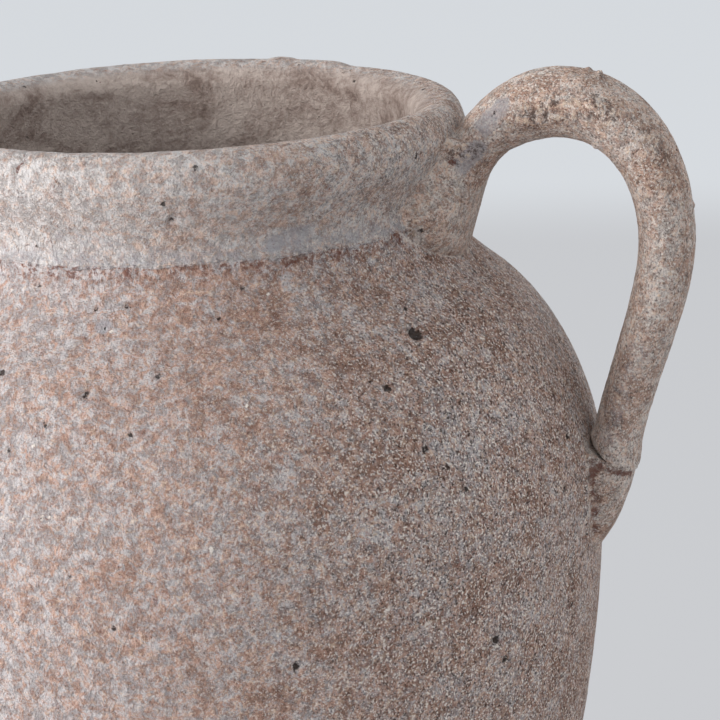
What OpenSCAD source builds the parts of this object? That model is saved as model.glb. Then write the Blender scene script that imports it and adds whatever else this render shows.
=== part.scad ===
// Two-handled clay jar, built as a potter builds it: a foot slab, a thrown bowl, a shoulder section,
// a neck collar, a lip coil, and two pulled handles with their wads and pads.
// Millimetres. Z points up. The origin is the centre of the resting face. The handles lie along X.

/* [Vessel] */
// Height of the lip's top ring above the resting face
height = 380; // [372:1:390]
// Radius of the flat foot where it rests
foot_r = 70; // [64:0.5:76]
// Thickness of the foot slab
foot_t = 14; // [11:0.5:18]
// Largest radius of the belly
belly_r = 147.5; // [142:0.5:152]
// Height of the widest ring, where the bowl and the shoulder section are joined
belly_z = 248; // [240:1:256]
// Thickness of the thrown wall
wall = 8.5; // [7:0.5:10]

/* [Neck] */
// Radius of the cylindrical throat
throat_r = 83.5; // [81:0.5:84]
// Outer radius of the neck at its waist, just above the seam
neck_r = 92.5; // [91.5:0.1:93]
// Outer radius where the neck sits on the shoulder
seam_r = 93.5; // [93:0.1:94.5]
// Depth of that seam below the lip's top ring
seam_drop = 39; // [37:0.5:41]
// Thickness of the raised line of slip squeezed out at the seam
seam_coil_d = 2.4; // [1.6:0.1:3]

/* [Lip] */
// Outer radius of the lip coil
lip_r = 102.5; // [100:0.5:104]
// Height of the lip coil
lip_h = 18; // [15:0.5:20]

/* [Handles] */
// Distance from the jar's axis to the outermost point of the handle's centre line
handle_reach = 174.5; // [171:0.5:178]
// Height of the arch's centre line above the lip's top ring
handle_rise = 0; // [-3:0.5:3]
// Thickness of the strap at the top of the arch
arch_t = 24.5; // [22:0.5:26]
// Thickness of the strap on its straight leg
leg_t = 16.5; // [15:0.5:18]
// Width of the strap
strap_w = 31; // [28:0.5:34]

/* [Hidden] */
$fn = 96;
neck_z = height - seam_drop;
lip_z = height - lip_h;
lip_ring_r = 95;
lip_widest_drop = 9.5;
bevel_drop = 7.5;
bevel_edge = 1.5;
waist_drop = 34;
foot_edge = 3;
shoulder_steps = 12;
bowl_steps = 16;
neck_steps = 8;
lip_steps = 4;

// The shoulder's curve: the radius and height it heads for, and how full it is.
shoulder_r = 93;
shoulder_drop = 57.5;
shoulder_power = 1.534;
shoulder_root = 1.937;
// The bowl's curve: how full it is between the widest ring and the foot.
bowl_power = 2.179;
bowl_root = 1.235;
// The hollow below the neck seam runs out into the shoulder this far below the lip's top ring.
hollow_drop = 66.5;
hollow_pull = 9;

// Handle: the centre line runs from the neck, over the arch, down to the belly.
root_x = 92;
root_drop = 29.5;
arch_x = 137.6;
outer_drop = 47.7;
leg_end_x = 152.7;
leg_end_z = belly_z - 4.3;
root_t = 20;
strap_steps = 11;
strap_sides = 20;

// Clay pressed round the handle's two ends: centre, half sizes and how far each leans outwards.
wad_at = [94, height - 33];
wad_half = [16, 34, 26];
wad_lean = 0.25;
pad_at = [147, belly_z - 4];
pad_half = [15, 19, 27];
pad_lean = 0.2;
lump_rings = 13;
lump_sides = 28;

clay = [0.62, 0.53, 0.49];
pale_clay = [0.78, 0.74, 0.70];
red_clay = [0.56, 0.43, 0.38];

// ---- Outlines, as [radius, height] ----

// A full curve that leaves the widest ring upright and closes in to end_r at end_z.
function full_curve(z, end_r, end_z, power, root) =
    end_r + (belly_r - end_r) * pow(1 - pow(min(1, (z - belly_z) / (end_z - belly_z)), power), 1 / root);

function bowl_r(z) = full_curve(z, foot_r, 0, bowl_power, bowl_root);

function shoulder_curve_r(z) =
    full_curve(z, shoulder_r, height - shoulder_drop, shoulder_power, shoulder_root);

hollow_z = height - hollow_drop;

function bezier(p, t) =
    pow(1 - t, 3) * p[0] + 3 * pow(1 - t, 2) * t * p[1] + 3 * (1 - t) * t * t * p[2] + pow(t, 3) * p[3];

function bezier_way(p, t) =
    3 * pow(1 - t, 2) * (p[1] - p[0]) + 6 * (1 - t) * t * (p[2] - p[1]) + 3 * t * t * (p[3] - p[2]);

// From the shoulder's curve up into the neck seam, hollow on the outside.
hollow_way = shoulder_curve_r(hollow_z + 1) - shoulder_curve_r(hollow_z - 1);
hollow_curve = [
    [shoulder_curve_r(hollow_z), hollow_z],
    [shoulder_curve_r(hollow_z) + hollow_way / 2 * hollow_pull, hollow_z + hollow_pull],
    [seam_r + hollow_pull / 12, neck_z - hollow_pull],
    [seam_r, neck_z],
];

function bowl_outline(inset) = [
    for (i = [0 : bowl_steps])
        let (z = foot_t + (belly_z - foot_t) * sin(90 * i / bowl_steps))
        [bowl_r(z) - inset, z]
];

function shoulder_outline(inset) = concat(
    [for (i = [0 : shoulder_steps])
        let (z = belly_z + (hollow_z - belly_z) * i / shoulder_steps)
        [shoulder_curve_r(z) - inset, z]],
    [for (i = [1 : shoulder_steps / 2])
        let (p = bezier(hollow_curve, 2 * i / shoulder_steps))
        [max(throat_r, p[0] - inset), p[1]]]
);

// From one radius to another, leaving and arriving upright.
function eased(from_r, to_r, share) = from_r + (to_r - from_r) * (0.5 - 0.5 * cos(180 * share));

// The neck draws in a little above the seam, then flares in one sweep to the lip's widest ring.
waist_z = height - waist_drop;
lip_widest_z = height - lip_widest_drop;

function neck_r_at(z) =
    z < waist_z
        ? eased(seam_r, neck_r, (z - neck_z) / (waist_z - neck_z))
        : eased(neck_r, lip_r, (z - waist_z) / (lip_widest_z - waist_z));

function neck_outline() = [
    for (i = [0 : neck_steps])
        let (z = neck_z + (lip_z - neck_z) * i / neck_steps)
        [neck_r_at(z), z]
];

function reversed(list) = [for (i = [len(list) - 1 : -1 : 0]) list[i]];

// The lip's outside: the end of the neck's flare, rolled over to the top ring.
function lip_outline() = concat(
    [for (i = [0 : lip_steps])
        let (z = lip_z + (lip_widest_z - lip_z) * i / lip_steps)
        [neck_r_at(z), z]],
    [for (a = [15 : 15 : 90])
        [lip_ring_r + (lip_r - lip_ring_r) * cos(a), lip_widest_z + lip_widest_drop * sin(a)]]
);

function foot_outline() = concat(
    [for (a = [-90 : 15 : 0]) [foot_r - foot_edge + foot_edge * cos(a), foot_edge + foot_edge * sin(a)]],
    [for (i = [1 : 2]) let (z = foot_edge + (foot_t - foot_edge) * i / 2)
        [foot_r + (bowl_r(foot_t) - foot_r) * (z - foot_edge) / (foot_t - foot_edge), z]]
);

// ---- The thrown vessel ----

module base_disc() {
    color(clay)
    rotate_extrude()
    polygon(concat([[0, 0]], foot_outline(), [[0, foot_t]]));
}

module lower_body() {
    color(clay)
    rotate_extrude()
    polygon(concat(bowl_outline(0), reversed(bowl_outline(wall))));
}

module upper_body() {
    color(clay)
    rotate_extrude()
    polygon(concat(shoulder_outline(0), reversed(shoulder_outline(wall))));
}

module neck_collar() {
    color(clay)
    rotate_extrude()
    polygon(concat(neck_outline(), [[throat_r, lip_z], [throat_r, neck_z]]));
}

module lip_coil() {
    color(clay)
    rotate_extrude()
    polygon(concat(
        [[throat_r, lip_z]],
        lip_outline(),
        [[lip_ring_r - bevel_edge, height - bevel_edge / 4],
         [throat_r + bevel_edge, height - bevel_drop + bevel_edge],
         [throat_r, height - bevel_drop]]
    ));
}

module neck_seam_coil() {
    color(pale_clay)
    rotate_extrude()
    difference() {
        seam_section();
        vessel_section();
    }
}

module seam_section() {
    translate([seam_r, neck_z])
    circle(d = seam_coil_d, $fn = 16);
}

// Everything inside the jar's outer skin, for seating what is pressed onto it.
module vessel_outside() {
    rotate_extrude()
    vessel_section();
}

module vessel_section() {
    polygon(concat(
        [[0, 0]], foot_outline(), bowl_outline(0), shoulder_outline(0), neck_outline(), lip_outline(),
        [[0, height]]
    ));
}

// ---- The handles ----

arch_z = height + handle_rise;
outer_z = height - outer_drop;
strap_curves = [
    [[root_x, height - root_drop], [root_x + 13.4, height - 16.6], [arch_x - 18.9, arch_z], [arch_x, arch_z]],
    [[arch_x, arch_z], [arch_x + 22.5, arch_z], [handle_reach, outer_z + 27.6], [handle_reach, outer_z]],
    [[handle_reach, outer_z], [handle_reach, outer_z - 25.4], [leg_end_x + 0.6, leg_end_z + 24.5],
     [leg_end_x, leg_end_z]],
];
// Thickness of the strap where each curve starts and ends.
strap_t = [root_t, arch_t, (arch_t + 2 * leg_t) / 3, leg_t];

function strap_ring(curve, t) =
    let (p = bezier(strap_curves[curve], t))
    let (w = bezier_way(strap_curves[curve], t) / norm(bezier_way(strap_curves[curve], t)))
    let (half_t = (strap_t[curve] + (strap_t[curve + 1] - strap_t[curve]) * (0.5 - 0.5 * cos(180 * t))) / 2)
    [for (s = [0 : strap_sides - 1])
        let (a = 360 * s / strap_sides)
        [p[0] - w[1] * half_t * cos(a), strap_w / 2 * sin(a), p[1] + w[0] * half_t * cos(a)]];

function ring_faces(rings, sides) = concat(
    [for (r = [0 : rings - 2], s = [0 : sides - 1])
        let (a = r * sides + s, b = r * sides + (s + 1) % sides)
        [a, b, b + sides, a + sides]],
    [[for (s = [sides - 1 : -1 : 0]) s], [for (s = [0 : sides - 1]) (rings - 1) * sides + s]]
);

module strap() {
    rings = concat(
        [strap_ring(0, 0)],
        [for (c = [0 : 2], i = [1 : strap_steps]) strap_ring(c, i / strap_steps)]
    );
    polyhedron([for (r = rings) each r], ring_faces(len(rings), strap_sides));
}

// An egg of clay that leans outwards as it rises.
module lump(at, half, lean) {
    rings = [
        for (r = [0 : lump_rings - 1])
        let (v = -86 + 172 * r / (lump_rings - 1))
        [for (s = [0 : lump_sides - 1])
            let (a = -360 * s / lump_sides)
            [at[0] + lean * half[2] * sin(v) + half[0] * cos(v) * cos(a),
             half[1] * cos(v) * sin(a),
             at[1] + half[2] * sin(v)]]
    ];
    polyhedron([for (r = rings) each r], ring_faces(lump_rings, lump_sides));
}

module handle() {
    color(clay)
    difference() {
        strap();
        vessel_outside();
    }
}

module root_wad() {
    color(red_clay)
    difference() {
        lump(wad_at, wad_half, wad_lean);
        strap();
        vessel_outside();
        rotate_extrude() seam_section();
    }
}

module foot_pad() {
    color(clay)
    difference() {
        lump(pad_at, pad_half, pad_lean);
        strap();
        vessel_outside();
    }
}

module handle_right() { handle(); }
module handle_left() { rotate([0, 0, 180]) handle(); }
module handle_right_root_wad() { root_wad(); }
module handle_left_root_wad() { rotate([0, 0, 180]) root_wad(); }
module handle_right_foot_pad() { foot_pad(); }
module handle_left_foot_pad() { rotate([0, 0, 180]) foot_pad(); }

base_disc();
lower_body();
upper_body();
neck_collar();
lip_coil();
neck_seam_coil();
handle_right();
handle_left();
handle_right_root_wad();
handle_left_root_wad();
handle_right_foot_pad();
handle_left_foot_pad();
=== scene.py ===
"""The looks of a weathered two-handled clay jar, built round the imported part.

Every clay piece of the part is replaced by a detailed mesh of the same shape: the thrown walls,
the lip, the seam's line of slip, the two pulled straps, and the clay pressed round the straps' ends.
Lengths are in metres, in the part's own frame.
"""

import logging
import math
from collections.abc import Callable, Sequence
from dataclasses import dataclass
from enum import Enum

import bpy
import numpy as np
from mathutils import Matrix, Vector

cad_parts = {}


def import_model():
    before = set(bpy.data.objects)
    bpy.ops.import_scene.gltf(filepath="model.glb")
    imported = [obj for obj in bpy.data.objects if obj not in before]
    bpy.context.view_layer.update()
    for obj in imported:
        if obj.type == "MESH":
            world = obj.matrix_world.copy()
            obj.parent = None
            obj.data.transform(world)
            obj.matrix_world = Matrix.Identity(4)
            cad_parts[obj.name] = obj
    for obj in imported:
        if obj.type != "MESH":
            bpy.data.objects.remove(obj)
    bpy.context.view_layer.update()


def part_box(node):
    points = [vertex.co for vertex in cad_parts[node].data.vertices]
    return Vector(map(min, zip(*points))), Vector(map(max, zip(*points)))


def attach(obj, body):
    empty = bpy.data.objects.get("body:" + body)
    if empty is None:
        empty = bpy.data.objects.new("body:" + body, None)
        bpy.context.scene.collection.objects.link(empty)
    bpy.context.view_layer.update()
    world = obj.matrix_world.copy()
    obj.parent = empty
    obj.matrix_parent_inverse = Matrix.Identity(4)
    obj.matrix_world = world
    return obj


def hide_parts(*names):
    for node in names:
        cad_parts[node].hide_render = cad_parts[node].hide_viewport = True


LOG = logging.getLogger("jar")
MM = 0.001
BODY = "root"
ARROW = "push_way"
INSIDE = "inside"
TINY = 1e-9

Colour = tuple[float, float, float, float]
Spot = tuple[float, float, float]


class Side(Enum):
    """Which handle a piece belongs to, as its nodes are named."""

    RIGHT = "right"
    LEFT = "left"


class Slot(Enum):
    """The material slots."""

    BODY = "clay_body"
    NECK = "clay_neck"
    HANDLES = "clay_handles"
    SLIP = "pale_slip"


def smooth(low: float, high: float, values: np.ndarray) -> np.ndarray:
    """Rises softly from 0 at low to 1 at high.

    Args:
        low: Where the rise starts.
        high: Where it ends.
        values: What is measured.

    Returns:
        The share of the rise, from 0 to 1.
    """
    share = np.clip((values - low) / (high - low), 0.0, 1.0)
    return share * share * (3.0 - 2.0 * share)


def linear(red: float, green: float, blue: float) -> Colour:
    """Turns a colour as the eye grades it, 0 to 255 each, into a shader's linear colour.

    Args:
        red: Red, 0 to 255.
        green: Green, 0 to 255.
        blue: Blue, 0 to 255.

    Returns:
        Linear red, green, blue and an alpha of 1.
    """
    shares = [channel / 255.0 for channel in (red, green, blue)]
    flat = [s / 12.92 if s <= 0.04045 else ((s + 0.055) / 1.055) ** 2.4 for s in shares]
    return (flat[0], flat[1], flat[2], 1.0)


# ---------------------------------------------------------------------------------------------------------
# Node trees written as expressions
# ---------------------------------------------------------------------------------------------------------


class Wire:
    """One output socket of a node tree, with arithmetic."""

    def __init__(self, graph: "Graph", socket: bpy.types.NodeSocket) -> None:
        """Keeps the socket and the graph it belongs to."""
        self.graph = graph
        self.socket = socket

    def _maths(self, operation: str, *operands: "Wire | float") -> "Wire":
        """Adds a Math node, or a Vector Math node where the operands are vectors.

        Args:
            operation: The node's operation.
            *operands: What goes into its sockets, in order.

        Returns:
            The node's result.
        """
        vector = self.socket.type == "VECTOR"
        kind = "ShaderNodeVectorMath" if vector else "ShaderNodeMath"
        made = self.graph.node(kind, {"operation": operation}, dict(enumerate(operands)))
        return Wire(self.graph, made.outputs[0])

    def __add__(self, other: "Wire | float") -> "Wire":
        """Sum."""
        return self._maths("ADD", self, other)

    __radd__ = __add__

    def __sub__(self, other: "Wire | float") -> "Wire":
        """Difference."""
        return self._maths("SUBTRACT", self, other)

    def __rsub__(self, other: float) -> "Wire":
        """Difference from a plain number."""
        return self._maths("SUBTRACT", other, self)

    def __mul__(self, other: "Wire | float | tuple") -> "Wire":
        """Product."""
        return self._maths("MULTIPLY", self, other)

    __rmul__ = __mul__

    def larger(self, other: "Wire | float") -> "Wire":
        """The larger of two values."""
        return self._maths("MAXIMUM", self, other)

    def rise(self, low: float, high: float) -> "Wire":
        """Rises softly from 0 at low to 1 at high, or falls where low is the larger.

        Args:
            low: The value that gives 0.
            high: The value that gives 1.

        Returns:
            The share, from 0 to 1.
        """
        falls = low > high
        made = self.graph.node(
            "ShaderNodeMapRange",
            {"interpolation_type": "SMOOTHSTEP"},
            {"Value": self, "From Min": min(low, high), "From Max": max(low, high)},
        )
        share = Wire(self.graph, made.outputs[0])
        return 1.0 - share if falls else share


@dataclass(frozen=True)
class Pattern:
    """One noise pattern.

    Its scale is in lumps per metre. Detail is its number of finer layers, and rough is how strong they are.
    Warp is how far it is stirred. Shift moves it along, so that two patterns of one scale don't coincide.
    """

    scale: float
    detail: float = 3.0
    rough: float = 0.55
    warp: float = 0.0
    shift: float = 0.0


class Graph:
    """A node tree of either kind, shader or geometry, that is written with wires."""

    def __init__(self, tree: bpy.types.NodeTree) -> None:
        """Keeps the tree and empties it."""
        self.tree = tree
        tree.nodes.clear()

    def node(self, kind: str, settings: dict | None = None, sockets: dict | None = None) -> bpy.types.Node:
        """Adds one node.

        Args:
            kind: The node's type.
            settings: Its settings, set before its sockets are filled.
            sockets: Values or wires by socket name, identifier or place.

        Returns:
            The node.
        """
        made = self.tree.nodes.new(kind)
        for name, value in (settings or {}).items():
            setattr(made, name, value)
        for key, value in (sockets or {}).items():
            self._fill(self._socket(made, key), value)
        return made

    def _socket(self, made: bpy.types.Node, key: str | int) -> bpy.types.NodeSocket:
        """Finds an input by its place, identifier or name.

        Args:
            made: The node.
            key: The input's place, identifier or name.

        Returns:
            The input.
        """
        if isinstance(key, int):
            return made.inputs[key]
        for socket in made.inputs:
            if socket.identifier == key:
                return socket
        return made.inputs[key]

    def _fill(self, socket: bpy.types.NodeSocket, value: "Wire | float | tuple") -> None:
        """Links a wire to a socket, or sets its value."""
        if isinstance(value, Wire):
            self.tree.links.new(value.socket, socket)
        elif socket.type == "VECTOR" and not isinstance(value, (tuple, list)):
            socket.default_value = (value, value, value)
        else:
            socket.default_value = value

    def noise(self, place: Wire, pattern: Pattern) -> Wire:
        """A noise value, about 0.5 on average.

        Args:
            place: Where it is read.
            pattern: Which noise it is.

        Returns:
            The noise.
        """
        made = self.node(
            "ShaderNodeTexNoise",
            {},
            {
                "Vector": place + pattern.shift if pattern.shift else place,
                "Scale": pattern.scale,
                "Detail": pattern.detail,
                "Roughness": pattern.rough,
                "Distortion": pattern.warp,
            },
        )
        return Wire(self, made.outputs[0])

    def cells(self, place: Wire, scale: float) -> tuple[Wire, Wire]:
        """Distance to the nearest of many scattered points, and a random number for that point.

        Args:
            place: Where it is read.
            scale: Points per metre.

        Returns:
            The distance in cell sizes, and the random number.
        """
        made = self.node("ShaderNodeTexVoronoi", {"feature": "F1"}, {"Vector": place, "Scale": scale})
        number, _, _ = self.parts(Wire(self, made.outputs["Color"]))
        return Wire(self, made.outputs["Distance"]), number

    def blend(self, share: "Wire | float", first: "Wire | tuple", second: "Wire | tuple",
              way: str = "MIX") -> Wire:
        """Mixes two colours.

        Args:
            share: How much of the second.
            first: A colour.
            second: A colour.
            way: The blend type.

        Returns:
            The mixed colour.
        """
        made = self.node(
            "ShaderNodeMix",
            {"data_type": "RGBA", "blend_type": way, "clamp_factor": True},
            {"Factor_Float": share, "A_Color": first, "B_Color": second},
        )
        return Wire(self, made.outputs[2])

    def parts(self, place: Wire) -> tuple[Wire, Wire, Wire]:
        """The X, Y and Z of a place."""
        made = self.node("ShaderNodeSeparateXYZ", {}, {0: place})
        return Wire(self, made.outputs[0]), Wire(self, made.outputs[1]), Wire(self, made.outputs[2])


# ---------------------------------------------------------------------------------------------------------
# The jar's outline
# ---------------------------------------------------------------------------------------------------------


@dataclass(frozen=True)
class Outline:
    """The jar's outer outline, as a radius for each height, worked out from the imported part."""

    height: float
    lip_r: float
    lip_z: float
    neck_z: float
    belly_r: float
    belly_z: float
    foot_t: float
    foot_r: float = 70 * MM
    foot_edge: float = 3 * MM
    wall: float = 8.5 * MM
    throat_r: float = 83.5 * MM
    seam_r: float = 93.5 * MM
    waist_r: float = 92.5 * MM
    waist_drop: float = 34 * MM
    ring_r: float = 95 * MM
    widest_drop: float = 9.5 * MM
    bevel_drop: float = 7.5 * MM
    shoulder_r: float = 93 * MM
    shoulder_drop: float = 57.5 * MM
    shoulder_power: float = 1.534
    shoulder_root: float = 1.937
    bowl_power: float = 2.179
    bowl_root: float = 1.235
    hollow_drop: float = 66.5 * MM
    hollow_pull: float = 9 * MM
    hollow_flare: float = 0.75 * MM

    @classmethod
    def from_frame(cls) -> "Outline":
        """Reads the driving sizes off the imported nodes."""
        lip_low, lip_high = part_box("lip_coil")
        shoulder_low, shoulder_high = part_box("upper_body")
        _, foot_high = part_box("base_disc")
        digits = 4
        return cls(
            height=round(lip_high.z, digits),
            lip_r=round(lip_high.y, digits),
            lip_z=round(lip_low.z, digits),
            neck_z=round(shoulder_high.z, digits),
            belly_r=round(shoulder_high.y, digits),
            belly_z=round(shoulder_low.z, digits),
            foot_t=round(foot_high.z, digits),
        )

    def _full(self, z: np.ndarray, end_r: float, end_z: float, power: float, root: float) -> np.ndarray:
        """A full curve that leaves the widest ring upright and closes in to end_r at end_z."""
        share = np.clip((z - self.belly_z) / (end_z - self.belly_z), 0.0, 1.0)
        return end_r + (self.belly_r - end_r) * (1.0 - share**power) ** (1.0 / root)

    def _shoulder(self, z: np.ndarray) -> np.ndarray:
        """The shoulder's own curve, before the hollow under the neck."""
        end_z = self.height - self.shoulder_drop
        return self._full(z, self.shoulder_r, end_z, self.shoulder_power, self.shoulder_root)

    def _hollow(self, z: np.ndarray) -> np.ndarray:
        """The hollow curve from the shoulder up into the neck seam.

        Args:
            z: Heights.

        Returns:
            Radii.
        """
        low_z = self.height - self.hollow_drop
        low_r = float(self._shoulder(np.array([low_z]))[0])
        step = 0.5 * MM
        slope = float(np.diff(self._shoulder(np.array([low_z - step, low_z + step])))[0]) / (2 * step)
        hull = np.array([
            [low_r, low_z],
            [low_r + slope * self.hollow_pull, low_z + self.hollow_pull],
            [self.seam_r + self.hollow_flare, self.neck_z - self.hollow_pull],
            [self.seam_r, self.neck_z],
        ])
        points = bezier(hull, np.linspace(0.0, 1.0, 64))
        return np.interp(z, points[:, 1], points[:, 0])

    def radius(self, z: np.ndarray) -> np.ndarray:
        """The outer skin's radius at each height.

        Args:
            z: Heights.

        Returns:
            Radii.
        """
        z = np.asarray(z, float)
        waist_z = self.height - self.waist_drop
        widest_z = self.height - self.widest_drop
        hollow_z = self.height - self.hollow_drop
        bowl = self._full(z, self.foot_r, 0.0, self.bowl_power, self.bowl_root)
        out = np.where(z <= self.belly_z, bowl, self._shoulder(np.minimum(z, hollow_z)))
        out = np.where(z > hollow_z, self._hollow(z), out)
        neck = eased(self.seam_r, self.waist_r, (z - self.neck_z) / (waist_z - self.neck_z))
        out = np.where(z > self.neck_z, neck, out)
        flare = eased(self.waist_r, self.lip_r, (z - waist_z) / (widest_z - waist_z))
        out = np.where(z > waist_z, flare, out)
        roll = np.sqrt(np.clip(1.0 - ((z - widest_z) / self.widest_drop) ** 2, 0.0, 1.0))
        return np.where(z > widest_z, self.ring_r + (self.lip_r - self.ring_r) * roll, out)

    def facing(self, z: np.ndarray) -> tuple[np.ndarray, np.ndarray]:
        """The skin's outward direction at each height, as its radial and upright shares.

        Args:
            z: Heights.

        Returns:
            The radial shares and the upright shares.
        """
        step = 0.4 * MM
        slope = (self.radius(z + step) - self.radius(z - step)) / (2 * step)
        long = np.sqrt(1.0 + slope**2)
        return 1.0 / long, -slope / long

    def rows(self, low: float, high: float, spacing: float) -> np.ndarray:
        """Heights from low to high that lie evenly along the skin.

        Args:
            low: First height.
            high: Last height.
            spacing: Distance along the skin between rows.

        Returns:
            The heights.
        """
        fine = np.linspace(low, high, 800)
        along = np.concatenate([[0.0], np.cumsum(np.hypot(np.diff(self.radius(fine)), np.diff(fine)))])
        count = max(2, round(along[-1] / spacing))
        return np.interp(np.linspace(0.0, along[-1], count + 1), along, fine)


def bezier(hull: np.ndarray, share: np.ndarray) -> np.ndarray:
    """Points on a cubic curve.

    Args:
        hull: Its four control points.
        share: How far along, from 0 to 1.

    Returns:
        One point for each share.
    """
    t = np.asarray(share, float)[:, None]
    left = 1 - t
    return left**3 * hull[0] + 3 * left**2 * t * hull[1] + 3 * left * t**2 * hull[2] + t**3 * hull[3]


def eased(start: float, end: float, share: np.ndarray) -> np.ndarray:
    """From one value to another, leaving and arriving flat."""
    return start + (end - start) * (0.5 - 0.5 * np.cos(math.pi * np.clip(share, 0.0, 1.0)))


# ---------------------------------------------------------------------------------------------------------
# Mesh helpers
# ---------------------------------------------------------------------------------------------------------


def deselect() -> None:
    """Leaves edit mode and selects nothing."""
    if bpy.context.object is not None and bpy.context.object.mode != "OBJECT":
        bpy.ops.object.mode_set(mode="OBJECT")
    bpy.ops.object.select_all(action="DESELECT")


def take(piece: bpy.types.Object) -> None:
    """Selects one object alone and makes it active.

    Args:
        piece: The object.
    """
    deselect()
    piece.select_set(True)
    bpy.context.view_layer.objects.active = piece


def places(piece: bpy.types.Object) -> np.ndarray:
    """Every vertex of a piece, as rows of X, Y and Z.

    Args:
        piece: The piece.

    Returns:
        One row for each vertex.
    """
    flat = np.empty(len(piece.data.vertices) * 3, np.float64)
    piece.data.vertices.foreach_get("co", flat)
    return flat.reshape(-1, 3)


def put(piece: bpy.types.Object, points: np.ndarray) -> None:
    """Moves every vertex of a piece to its row of points."""
    piece.data.vertices.foreach_set("co", np.ascontiguousarray(points, np.float32).ravel())
    piece.data.update()


def facings(piece: bpy.types.Object) -> np.ndarray:
    """Every vertex's outward direction.

    Args:
        piece: The piece.

    Returns:
        One unit vector for each vertex.
    """
    flat = np.empty(len(piece.data.vertices) * 3, np.float32)
    piece.data.vertex_normals.foreach_get("vector", flat)
    return flat.reshape(-1, 3).astype(float)


def store(piece: bpy.types.Object, name: str, values: np.ndarray) -> None:
    """Keeps one number, or one vector, for each vertex under a name that node trees can read.

    Args:
        piece: The piece.
        name: The name.
        values: One number or vector for each vertex.
    """
    kind = "FLOAT" if values.ndim == 1 else "FLOAT_VECTOR"
    layer = piece.data.attributes.get(name) or piece.data.attributes.new(name, kind, "POINT")
    layer.data.foreach_set("value" if kind == "FLOAT" else "vector", values.astype(np.float32).ravel())


def apply_modifier(piece: bpy.types.Object, modifier: bpy.types.Modifier) -> None:
    """Applies one modifier."""
    take(piece)
    bpy.ops.object.modifier_apply(modifier=modifier.name)


def polar(points: np.ndarray) -> tuple[np.ndarray, np.ndarray, np.ndarray]:
    """The distance from the jar's axis, the azimuth and the height of each point."""
    return np.hypot(points[:, 0], points[:, 1]), np.arctan2(points[:, 1], points[:, 0]), points[:, 2]


def turned(section: Sequence[tuple[float, float]], name: str, steps: int) -> bpy.types.Object:
    """Turns a closed section about the jar's axis.

    Args:
        section: The section's corners, as radius and height.
        name: The piece's name.
        steps: How many steps a whole turn takes.

    Returns:
        The piece.
    """
    deselect()
    bpy.ops.mesh.primitive_circle_add(vertices=len(section), radius=1.0, fill_type="NOTHING")
    piece = bpy.context.object
    piece.name = name
    piece.data.name = name
    put(piece, np.array([[radius, 0.0, z] for radius, z in section]))
    bpy.ops.object.mode_set(mode="EDIT")
    bpy.ops.mesh.select_all(action="SELECT")
    bpy.ops.mesh.spin(steps=steps, angle=math.tau, center=(0, 0, 0), axis=(0, 0, 1))
    bpy.ops.mesh.select_all(action="SELECT")
    bpy.ops.mesh.remove_doubles(threshold=0.002 * MM)
    bpy.ops.mesh.normals_make_consistent(inside=False)
    bpy.ops.object.mode_set(mode="OBJECT")
    return piece


# ---------------------------------------------------------------------------------------------------------
# Clay: the unevenness of the surface, and the marks at known places
# ---------------------------------------------------------------------------------------------------------


class Tint(Enum):
    """What a mark does to the clay's colour, as the name of the stored number that the finish reads."""

    NONE = "plain"
    PIT = "pit"
    PALE = "pale"
    # Red marks: red stains, and painted shade in some creases.
    RED = "red"
    GREY = "grey"
    CRUST = "crust"


@dataclass(frozen=True)
class Mark:
    """A dent, lump, line or stain along a short path of points, in millimetres."""

    path: tuple[Spot, ...]
    radius: float
    depth: float
    tint: Tint = Tint.PIT
    strength: float = 1.0
    core: float = 0.3

    def press(self, points: np.ndarray) -> np.ndarray:
        """How strongly the mark acts at each point, from 0 to 1.

        Args:
            points: Where it is asked for, in metres.

        Returns:
            One share for each point.
        """
        corners = np.array(self.path) * MM
        nearest = np.linalg.norm(points - corners[0], axis=1)
        for start, end in zip(corners[:-1], corners[1:]):
            stretch = end - start
            along = np.clip(((points - start) @ stretch) / (stretch @ stretch), 0.0, 1.0)
            away = points - start - along[:, None] * stretch
            nearest = np.minimum(nearest, np.linalg.norm(away, axis=1))
        return smooth(1.0, self.core, nearest / (self.radius * MM))


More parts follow.
